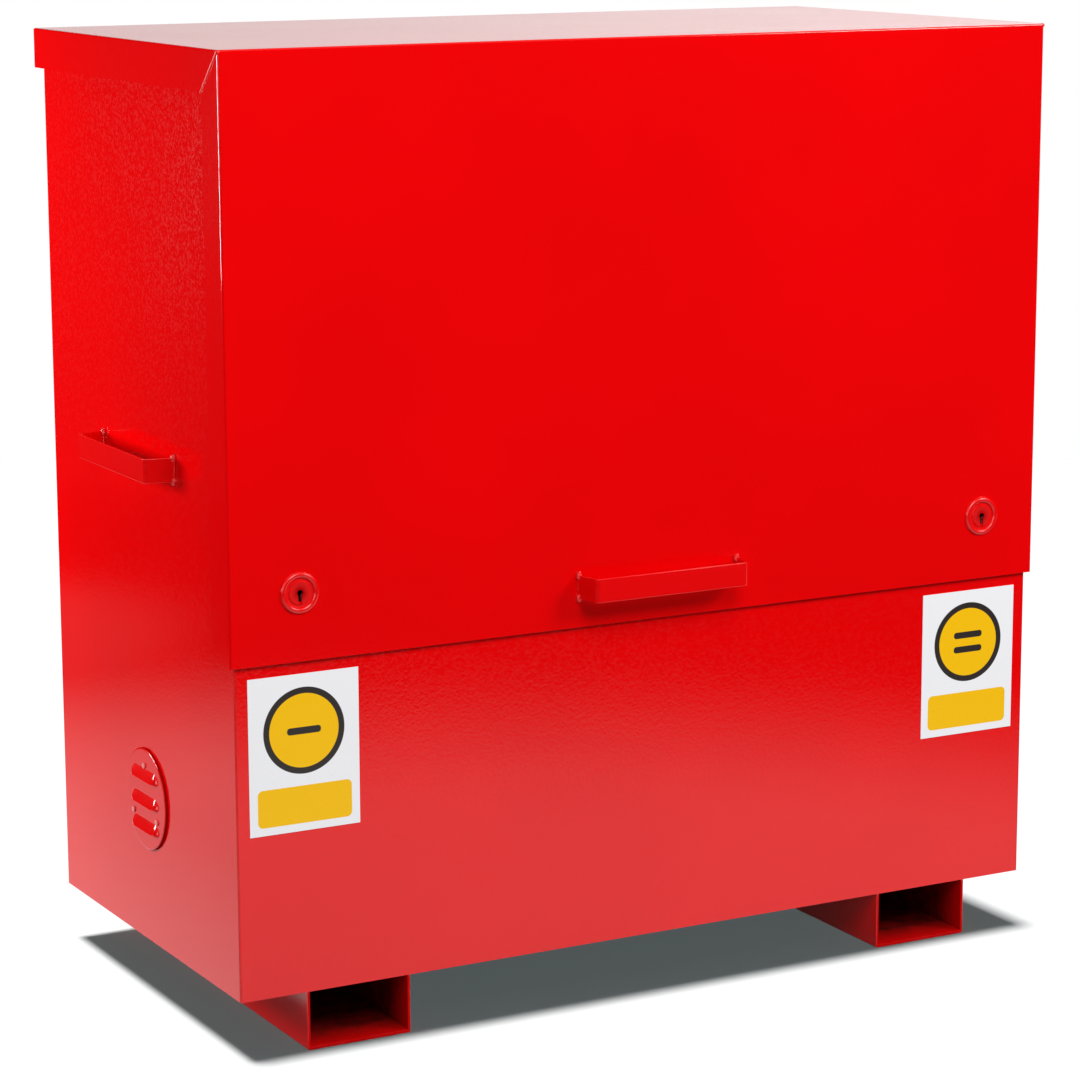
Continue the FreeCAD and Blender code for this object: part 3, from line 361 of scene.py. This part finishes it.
def vent_cover(name, side):
    """The cover's own shape, its louvre hoods pressed to straight slopes between round ends."""
    node = f"vent_cover_{name}"
    low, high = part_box(node)
    middle = (low + high) / 2
    face = (low.x if side < 0 else high.x) - side * HOOD_RISE
    bend = (HOOD_DEPTH ** 2 + HOOD_RISE ** 2) / (HOOD_RISE * 2)
    bm = merged_copy(node)
    for vert in bm.verts:
        for row in (-1, 0, 1):
            up = vert.co.z - (middle.z + row * HOOD_PITCH - HOOD_DEPTH / 2)
            past_end = max(0.0, abs(vert.co.y - middle.y) - (HOOD_LENGTH / 2 - HOOD_DEPTH))
            reach = Vector((up, past_end)).length
            out = (vert.co.x - face) * side
            if up < -NEARLY or reach > HOOD_DEPTH + NEARLY or out < -HOOD_SKIN + 0.1 * MM:
                continue
            arc = (bend ** 2 - reach ** 2) ** 0.5 - (bend - HOOD_RISE)
            slope = HOOD_RISE * (1 - reach / HOOD_DEPTH)
            share = max(0.0, 1 - past_end / (HOOD_DEPTH / 2))
            vert.co.x += side * (slope - arc) * HOOD_STRAIGHTNESS * share
    soften(bm, 0.2 * MM)
    # The cover's coat carries painted shade in a thin dark band round its rim.
    coat_vent = powder_coat(f"coat_vent_{name}", 3.0 * MM, 0.04 * MM, 0.15, dirt_and_shade=0.6, where={
        "Centre": (0, middle.y, middle.z), "Half Size": (1, 0, 0), "Radius": (high.y - low.y) / 2,
        "Full To": 0.5 * MM, "Gone At": 0.9 * MM})
    finish_piece(bm, f"{node}_finished", "chest", RED, coat_vent, node)


for name, side in SIDES.items():
    vent_cover(name, side)
    dressed(f"vent_backing_{name}", "chest", RED, coat_small, 0.3 * MM)
    dressed(f"vent_rivets_{name}", "chest", RED, rivet_highlight_paint, 0.8 * MM, segments=4)
    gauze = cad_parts[f"vent_gauze_{name}"].data
    gauze.materials.clear()
    gauze.materials.append(gauze_wire)


# Handles: 3 mm flat strip bent to a bracket, one low on the lid's front and one on each side.
# Each foot is welded to the sheet at its top and bottom corners, and the welds are painted over.
FOOT_INSET, WELD_OUT = 2.2 * MM, 1.6 * MM
LUMP_START, LUMP_END, LUMP_WIDTH = -1.6 * MM, 3.0 * MM, 8.5 * MM
SEAM_END, SEAM_WIDTH = 15 * MM, 4.2 * MM


def handle_welds(handle, body, across, out, face):
    """Weld lumps and short seams at the top and bottom corners of both feet of a handle."""
    low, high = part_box(handle)
    bm = bmesh.new()
    for end, foot in enumerate((low[across] + FOOT_INSET, high[across] - FOOT_INSET)):
        for tip, (level, inward) in enumerate(((low.z, 1), (high.z, -1))):
            spots = [Vector((0, 0, level + inward * reach)) for reach in (LUMP_START, LUMP_END, SEAM_END)]
            for spot in spots:
                spot[across] = foot
                spot[1 - across] = face + out * WELD_OUT
            start, lump_end, seam_end = spots
            weld_run(bm, start, lump_end, LUMP_WIDTH, end * 3.1 + tip * 1.7 + face)
            weld_run(bm, start, seam_end, SEAM_WIDTH, end + tip * 2.3)
    finish_piece(bm, f"{handle}_welds", body, RED, coat_small)


HANDLE_EDGE = 0.9 * MM
dressed("carry_handle_left", "chest", RED, coat_small, HANDLE_EDGE, segments=3)
dressed("carry_handle_right", "chest", RED, coat_small, HANDLE_EDGE, segments=3)
dressed("lid_handle", "lid", RED, coat_small, HANDLE_EDGE, segments=3)
handle_welds("carry_handle_left", "chest", 1, -1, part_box("side_panel_left")[0].x)
handle_welds("carry_handle_right", "chest", 1, 1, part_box("side_panel_right")[1].x)
handle_welds("lid_handle", "lid", 0, -1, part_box("lid_shell")[0].y)


# Hinge: two long leaves with interleaved knuckles and one steel pin, welded along the back
# of the body and the lid's rear flange. The leaves are painted, the pin is bright zinc.
MARKS_PER_METRE, DULLING_PER_METRE, MARK_DEPTH = 260.0, 38.0, 0.02 * MM


def plated_steel(name, colour, rough, streaks):
    """Plated or machined metal; streaks sets how drawn out its fine marks are."""
    material, tree, shader = new_material(name)
    place = object_place(tree)
    stretched = add(tree, "ShaderNodeMapping", {"Vector": place, "Scale": (streaks, 1, 1)}).outputs[0]
    marks = clouds(tree, stretched, MARKS_PER_METRE, 4.0)
    dull = tuple(channel * 0.72 for channel in colour[:3]) + (1,)
    shade = blend(tree, clouds(tree, place, DULLING_PER_METRE, 3.0), dull, colour)
    gloss = spread(tree, marks, 0.3, 0.7, rough * 0.7, rough * 1.3)
    surface(tree, shader, shade, gloss, marks, MARK_DEPTH)
    shader.inputs["Metallic"].default_value = 1.0
    return material


zinc = plated_steel("zinc_plate", (0.66, 0.67, 0.69, 1), 0.34, 0.35)
dressed("hinge_leaf_body", "chest", RED, coat_small, 0.25 * MM)
dressed("hinge_leaf_lid", "lid", RED, coat_small, 0.25 * MM)
dressed("hinge_pin", "chest", "zinc_plate", zinc, 0.5 * MM)


# Lid: one 2 mm sheet folded into a top, a front drop, side flanges and a short rear flange.
# The side flanges meet at 45 degrees in the front corners and are welded along that line.
coat_lid = powder_coat("coat_lid", 3.4 * MM, 0.07 * MM, 0.085)
coat_bead = powder_coat("coat_bead", 3.0 * MM, 0.04 * MM, 0.3)
folded_sheet("lid_shell", "lid", coat_lid, 2.2 * MM, 0.6 * MM)
lid_low, lid_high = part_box("lid_shell")
FLANGE = 52 * MM
BEAD_START, BEAD_SUNK, BEAD_WIDTH = 2.4 * MM, 1.2 * MM, 5.5 * MM
beads = bmesh.new()
for name, side in SIDES.items():
    face = lid_low.x if side < 0 else lid_high.x
    start, end = ((face - side * BEAD_SUNK, lid_low.y + reach, lid_high.z - reach)
                  for reach in (BEAD_START, FLANGE))
    weld_run(beads, start, end, BEAD_WIDTH, side * 5.3)
finish_piece(beads, "lid_corner_welds", "lid", RED, coat_bead)


# Lid braces: two folded top-hat channels, one across under the top and one behind the front.
# Both are stitch-welded along their wings.
dressed("lid_brace_top", "lid", RED, coat_body, 0.4 * MM)
dressed("lid_brace_front", "lid", RED, coat_body, 0.4 * MM)


# Lock roses: a round pressed rose over each keyhole on the lid's front, with a rolled rim
# and a raised core, painted over with the lid.
ROSE_STEPS, RIM_STEPS = 144, 8


def lock_rose(name):
    """A rose built ring by ring round its keyhole, which is a round hole over a slot."""
    low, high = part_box(f"lock_rose_{name}")
    centre = (low + high) / 2
    radius, height, back = (high.x - low.x) / 2, high.y - low.y, high.y
    rim, foot, floor, core, core_height = 7.4 * MM, 0.6 * MM, 0.8 * MM, 15 * MM, 2.2 * MM
    hole, slot, drop = 4 * MM, 2.5 * MM, 14.5 * MM

    section = [(radius, 0.0)]
    for step in range(RIM_STEPS + 1):
        turn = pi * step / RIM_STEPS
        section.append((radius - rim / 2 + rim / 2 * cos(turn), foot + (height - foot) * sin(turn)))
    section += [(radius - rim - 0.4 * MM, floor), (core + 0.5 * MM, floor), (core, floor + 0.5 * MM),
                (core - 0.1 * MM, core_height - 0.3 * MM), (core - 0.35 * MM, core_height)]
    bm = bmesh.new()
    rings = []
    for step in range(ROSE_STEPS):
        across, up = sin(2 * pi * step / ROSE_STEPS), cos(2 * pi * step / ROSE_STEPS)
        key = hole
        if up < 0:
            key = max(hole, min(slot / max(abs(across), 1e-6), drop / -up))
        rings.append([bm.verts.new((centre.x + r * across, back - h, centre.z + r * up))
                      for r, h in section + [(key, core_height), (key, 0.0)]])
    for ring, following in zip(rings, rings[1:] + rings[:1]):
        for index, vert in enumerate(ring):
            bm.faces.new((ring[index - 1], vert, following[index], following[index - 1]))
    bmesh.ops.recalc_face_normals(bm, faces=bm.faces)
    coat_rose = powder_coat(f"coat_rose_{name}", 3.0 * MM, 0.04 * MM, 0.22, dirt_and_shade=0.45, where={
        "Centre": (abs(centre.x), back - core_height, centre.z), "Full To": 6 * MM, "Gone At": 15 * MM})
    finish_piece(bm, f"lock_rose_{name}_turned", "lid", RED, coat_rose, f"lock_rose_{name}")


for name in SIDES:
    lock_rose(name)


# Locks: behind each rose a zinc plate on four welded studs with nuts, a zinc lock case and a
# sliding brass bolt, which passes through a painted keeper behind the slot in the door jamb.
brass = plated_steel("machined_brass", (0.76, 0.55, 0.24, 1), 0.28, 0.12)
for name in SIDES:
    dressed(f"lock_plate_{name}", "lid", "zinc_plate", zinc, 0.4 * MM)
    dressed(f"lock_case_{name}", "lid", "zinc_plate", zinc, 0.7 * MM, segments=3, whole_faces=False)
    dressed(f"lock_studs_{name}", "lid", "zinc_plate", zinc, 0.5 * MM)
    dressed(f"lock_nuts_{name}", "lid", "zinc_plate", zinc, 0.3 * MM)
    dressed(f"lock_bolt_{name}", f"bolt_{name}", "brass", brass, 0.8 * MM, segments=3)
    dressed(f"lock_keeper_{name}", "chest", RED, coat_small, 0.4 * MM)


# Gas struts: a black enamelled tube and guide on a bracket low on the side panel, and a
# chromed rod with a screwed eye, which pushes on a stud under the lid's top.
black = enamel("black_enamel", (0.012, 0.012, 0.013, 1), 0.24, 0.5)
chrome = plated_steel("ground_chrome", (0.82, 0.83, 0.85, 1), 0.09, 0.05)
for name in SIDES:
    tube_body, rod_body = f"strut_tube_body_{name}", f"strut_rod_body_{name}"
    dressed(f"strut_bracket_body_{name}", "chest", RED, coat_small, 0.6 * MM)
    dressed(f"strut_stud_body_{name}", "chest", "zinc_plate", zinc, 0.4 * MM)
    dressed(f"strut_tube_{name}", tube_body, "black_enamel", black, 0.9 * MM, segments=3)
    dressed(f"strut_guide_{name}", tube_body, "black_enamel", black, 0.4 * MM)
    dressed(f"strut_eye_lower_{name}", tube_body, "zinc_plate", zinc, 0.5 * MM)
    dressed(f"strut_rod_{name}", rod_body, "chrome_rod", chrome, 0.4 * MM)
    dressed(f"strut_eye_upper_{name}", rod_body, "zinc_plate", zinc, 0.5 * MM)
    dressed(f"strut_bracket_lid_{name}", "lid", RED, coat_small, 0.6 * MM)
    dressed(f"strut_stud_lid_{name}", "lid", "zinc_plate", zinc, 0.4 * MM)


# Buffers: moulded rubber stops on the body's top returns and on the front wall's rail,
# which the closed lid rests against.
rubber = enamel("moulded_rubber", (0.022, 0.022, 0.022, 1), 0.62, 0.7)
dressed("lid_buffers_top", "chest", "rubber", rubber, 1.0 * MM, segments=3)
dressed("lid_buffers_front", "chest", "rubber", rubber, 1.0 * MM, segments=3)


# Sign plates: 150 x 200 mm rigid white sheets on the front wall. Their print is a plain
# design of a ringed yellow disc over a blank yellow bar, a little different on each plate.
PRINT_WHITE = (0.88, 0.88, 0.905, 1)
PRINT_YELLOW = (0.93, 0.52, 0.0, 1)
PRINT_INK = (0.028, 0.022, 0.02, 1)
PRINT_BLUR = 0.25 * MM
DISC_UP, RING_RADIUS, DISC_RADIUS = 28 * MM, 55 * MM, 47 * MM
BAR_DOWN, BAR_SIZE = 66 * MM, (128 * MM, 48 * MM, 7 * MM)
STRIPE_STEP, STRIPE_SIZE = 20 * MM, (46 * MM, 9 * MM, 4 * MM)
FILM_PER_METRE, FILM_DEPTH = 160.0, 0.02 * MM


def printed_sheet(name, centre, stripes):
    """White sheet whose print is laid out from its own centre, in metres."""
    material, tree, shader = new_material(name)
    place = object_place(tree)
    local = vectors(tree, "SUBTRACT", place, tuple(centre))
    parts = add(tree, "ShaderNodeSeparateXYZ", {0: local}).outputs
    x, z = parts["X"], parts["Z"]

    def distance(across, up):
        """How far a step across and a step up lead."""
        squares = [maths(tree, "MULTIPLY", step, step) for step in (across, up)]
        return maths(tree, "SQRT", maths(tree, "ADD", *squares))

    def inside(reach, edge):
        """1 where a reach is under the edge, with a soft printed border."""
        return spread(tree, reach, edge - PRINT_BLUR, edge + PRINT_BLUR, 1.0, 0.0)

    def rounded_box(across, up, width, height, corner):
        """1 inside a box with rounded corners."""
        past = [maths(tree, "SUBTRACT", maths(tree, "ABSOLUTE", step), size / 2 - corner)
                for step, size in ((across, width), (up, height))]
        return inside(distance(*(maths(tree, "MAXIMUM", step, 0.0) for step in past)), corner)

    disc_z = maths(tree, "SUBTRACT", z, DISC_UP)
    from_disc = distance(x, disc_z)
    bar = rounded_box(x, maths(tree, "ADD", z, BAR_DOWN), *BAR_SIZE)
    marks = 0.0
    for index in range(stripes):
        rise = (index - (stripes - 1) / 2) * STRIPE_STEP
        stripe = rounded_box(x, maths(tree, "SUBTRACT", disc_z, rise), *STRIPE_SIZE)
        marks = maths(tree, "MAXIMUM", stripe, marks)
    ring, disc = inside(from_disc, RING_RADIUS), inside(from_disc, DISC_RADIUS)
    colour = PRINT_WHITE
    for mask, tint in ((ring, PRINT_INK), (disc, PRINT_YELLOW), (marks, PRINT_INK), (bar, PRINT_YELLOW)):
        colour = blend(tree, mask, colour, tint)
    film = clouds(tree, place, FILM_PER_METRE, 2.0)
    surface(tree, shader, colour, spread(tree, film, 0, 1, 0.24, 0.34), film, FILM_DEPTH)
    shader.inputs["Specular IOR Level"].default_value = 0.35
    return material


for name, stripes in (("left", 1), ("right", 2)):
    low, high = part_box(f"sign_plate_{name}")
    sheet = printed_sheet(f"printed_sheet_{name}", (low + high) / 2, stripes)
    dressed(f"sign_plate_{name}", "chest", "sign_plastic", sheet, 0.12 * MM)


# Stage floor: a round disc under the chest. Its paint is dark and its own lamps are strong, so
# that it looks white to the camera and the red chest hardly tints it.
FLOOR_RADIUS = 4.0
FLOOR_TONE, FLOOR_BOUNCE, FLOOR_LEAST = 0.15, 0.05, 0.001
POOL_AT_CHEST = ((-0.3, -0.05, 0), 1.2, 2.3, 1.0)
POOL_RIGHT = ((2.7, 0.5, 0), 0.8, 1.3, 1.0)
POOL_LEFT_REAR = ((-0.95, 2.25, 0), 0.45, 0.68, 0.2)


def pale_floor(*pools):
    """Matt floor paint, darker in what it bounces; reflections show only round pools of it."""
    material, tree, shader = new_material("pale_floor")
    place = object_place(tree)
    pool = FLOOR_LEAST
    for centre, full_to, gone_at, level in pools:
        reach = add(tree, "ShaderNodeVectorMath", {0: place, 1: centre}, operation="DISTANCE")
        round_pool = spread(tree, reach.outputs["Value"], full_to, gone_at, FLOOR_TONE * level, 0.0,
                            interpolation_type="SMOOTHSTEP")
        pool = maths(tree, "MAXIMUM", round_pool, pool)
    across = add(tree, "ShaderNodeSeparateXYZ", {0: place}).outputs["X"]
    dimmer_left = spread(tree, across, -0.95, -0.55, 0.52, 0.95)
    pool = maths(tree, "MULTIPLY", pool, dimmer_left)
    path = add(tree, "ShaderNodeLightPath").outputs
    seen = add(tree, "ShaderNodeMix", {0: path["Is Glossy Ray"], 2: FLOOR_TONE, 3: pool}).outputs[0]
    seen = add(tree, "ShaderNodeMix", {0: path["Is Diffuse Ray"], 2: seen, 3: FLOOR_BOUNCE}).outputs[0]
    feed(tree, shader.inputs["Base Color"], seen)
    shader.inputs["Roughness"].default_value = 1.0
    shader.inputs["Specular IOR Level"].default_value = 0.0
    return material


bm = bmesh.new()
bmesh.ops.create_circle(bm, cap_ends=True, segments=128, radius=FLOOR_RADIUS)
floor_mesh = bpy.data.meshes.new("floor")
bm.to_mesh(floor_mesh)
bm.free()
floor_mesh.materials.append(pale_floor(POOL_AT_CHEST, POOL_RIGHT, POOL_LEFT_REAR))
floor = bpy.data.objects.new("floor", floor_mesh)
bpy.context.scene.collection.objects.link(floor)


# Surround: plain white to the camera. In the chest's paint it shows only as a backdrop, a
# ceiling and a reflector on the left, and its even light on the chest is weak.
AMBIENT, DARKEST_REFLECTION, LEFT_REFLECTOR = 0.2, 0.012, 3.4
world = bpy.data.worlds.new("white_surround")
bpy.context.scene.world = world
world.use_nodes = True
tree = world.node_tree
background = tree.nodes["Background"]
path = add(tree, "ShaderNodeLightPath").outputs
direction = add(tree, "ShaderNodeTexCoord").outputs["Generated"]
facing = add(tree, "ShaderNodeSeparateXYZ", {0: direction}).outputs


def ramp(axis, start, end, low=0.0, high=1.0):
    """Goes from one strength to another as the direction turns along an axis."""
    return spread(tree, facing[axis], start, end, low, high, interpolation_type="SMOOTHSTEP")


def combine(operation, *values):
    """All the values put through an operation, one after another."""
    result = values[0]
    for value in values[1:]:
        result = maths(tree, operation, result, value)
    return result


backdrop = combine("MULTIPLY", ramp("X", 0.0, 0.25), ramp("Y", 0.1, 0.4), ramp("Z", -0.01, 0.03),
                   ramp("X", 0.36, 0.6, 0.76, 0.98), ramp("Z", 0.5, 0.35))
ceiling = ramp("Z", 0.35, 0.85, 0.0, 0.5)
left_reflector = combine("MULTIPLY", ramp("X", -0.5, -0.7), ramp("Y", -0.05, -0.25), ramp("Z", -0.08, 0.05),
                         ramp("Z", 0.65, 0.45), LEFT_REFLECTOR)
reflected = combine("MULTIPLY", path["Is Glossy Ray"],
                    combine("MAXIMUM", backdrop, ceiling, left_reflector, DARKEST_REFLECTION))
seen = combine("MAXIMUM", path["Is Camera Ray"], path["Is Transmission Ray"])
diffuse = combine("MULTIPLY", path["Is Diffuse Ray"], AMBIENT)
feed(tree, background.inputs["Strength"], combine("MAXIMUM", seen, reflected, diffuse))
background.inputs["Color"].default_value = (1, 1, 1, 1)


# Lamps: five softboxes round the chest and two suns over the floor. Each is linked to what it
# lights, and of the chest only the sump tray shades the floor from the overhead sun.
def linked(name, objects, state):
    """A light-linking collection whose objects are all included or all excluded."""
    collection = bpy.data.collections.new(name)
    for index, item in enumerate(objects):
        collection.objects.link(item)
        collection.collection_objects[index].light_linking.link_state = state
    return collection


not_floor = linked("all_but_the_floor", [floor], "EXCLUDE")
only_floor = linked("only_the_floor", [floor], "INCLUDE")
only_sump = linked("only_the_sump", [bpy.data.objects["sump_tray_finished"]], "INCLUDE")


def lamp(name, kind, place, target, power, receivers, **settings):
    """A lamp that shines from a place at a target and lights only its receivers."""
    light = bpy.data.lights.new(name, kind)
    light.energy = power
    for key, value in settings.items():
        setattr(light, key, value)
    holder = bpy.data.objects.new(name, light)
    bpy.context.scene.collection.objects.link(holder)
    holder.location = place
    holder.rotation_euler = (Vector(target) - Vector(place)).to_track_quat("-Z", "Y").to_euler()
    holder.light_linking.receiver_collection = receivers
    return holder


def softbox(name, place, target, width, height, power):
    """A rectangular studio lamp that lights the chest and leaves the floor to its own lamps."""
    lamp(name, "AREA", place, target, power, not_floor, shape="RECTANGLE", size=width, size_y=height)


OVERHEAD, FLOOR_FILL = 20.6, 1.87
softbox("front_softbox", (-0.65, -3.55, 3.7), (0, -0.28, 0.75), 2.3, 2.3, 135)
softbox("right_softbox", (3.1, -3.2, 2.9), (0.2, -0.2, 0.7), 1.4, 1.4, 112)
softbox("left_softbox", (-5.0, -1.6, 1.7), (-0.59, 0, 0.7), 1.6, 2.2, 20)
softbox("left_rear_softbox", (-1.89, 1.1, 1.0), (-0.59, 0.05, 0.85), 0.8, 0.5, 31)
softbox("right_rear_softbox", (3.2, 2.2, 3.4), (0.2, 0.2, 0.7), 2.0, 2.0, 74)
overhead = lamp("overhead_lamp", "SUN", (-0.3, 0.45, 4), (0, 0, 0), OVERHEAD, only_floor, angle=radians(13))
overhead.light_linking.blocker_collection = only_sump
lamp("floor_fill", "SUN", (1, 0, 4), (1, 0, 0), FLOOR_FILL, only_floor, use_shadow=False,
     color=(0.78, 1, 1))


# Camera: the photograph's place and angle, solved from the chest's own corners. Its focal
# length is given in pixels of the photograph.
CAMERA_PLACE = (-2.23694, -4.08569, 1.48149)
CAMERA_YAW, CAMERA_PITCH, CAMERA_ROLL = 0.4982, -0.1959, -0.0032
FOCAL_PIXELS, PHOTO_PIXELS, SENSOR = 3489.10, 1080, 36.0
lens = bpy.data.cameras.new("camera")
lens.sensor_width = SENSOR
lens.lens = SENSOR * FOCAL_PIXELS / PHOTO_PIXELS
lens.clip_end = 60
camera = bpy.data.objects.new("camera", lens)
bpy.context.scene.collection.objects.link(camera)
yawed = Matrix.Rotation(-CAMERA_YAW, 4, "Z")
pitched = Matrix.Rotation(pi / 2 + CAMERA_PITCH, 4, "X")
rolled = Matrix.Rotation(CAMERA_ROLL, 4, "Z")
camera.matrix_world = Matrix.Translation(CAMERA_PLACE) @ yawed @ pitched @ rolled
bpy.context.scene.camera = camera
bpy.context.scene.view_settings.view_transform = "Standard"
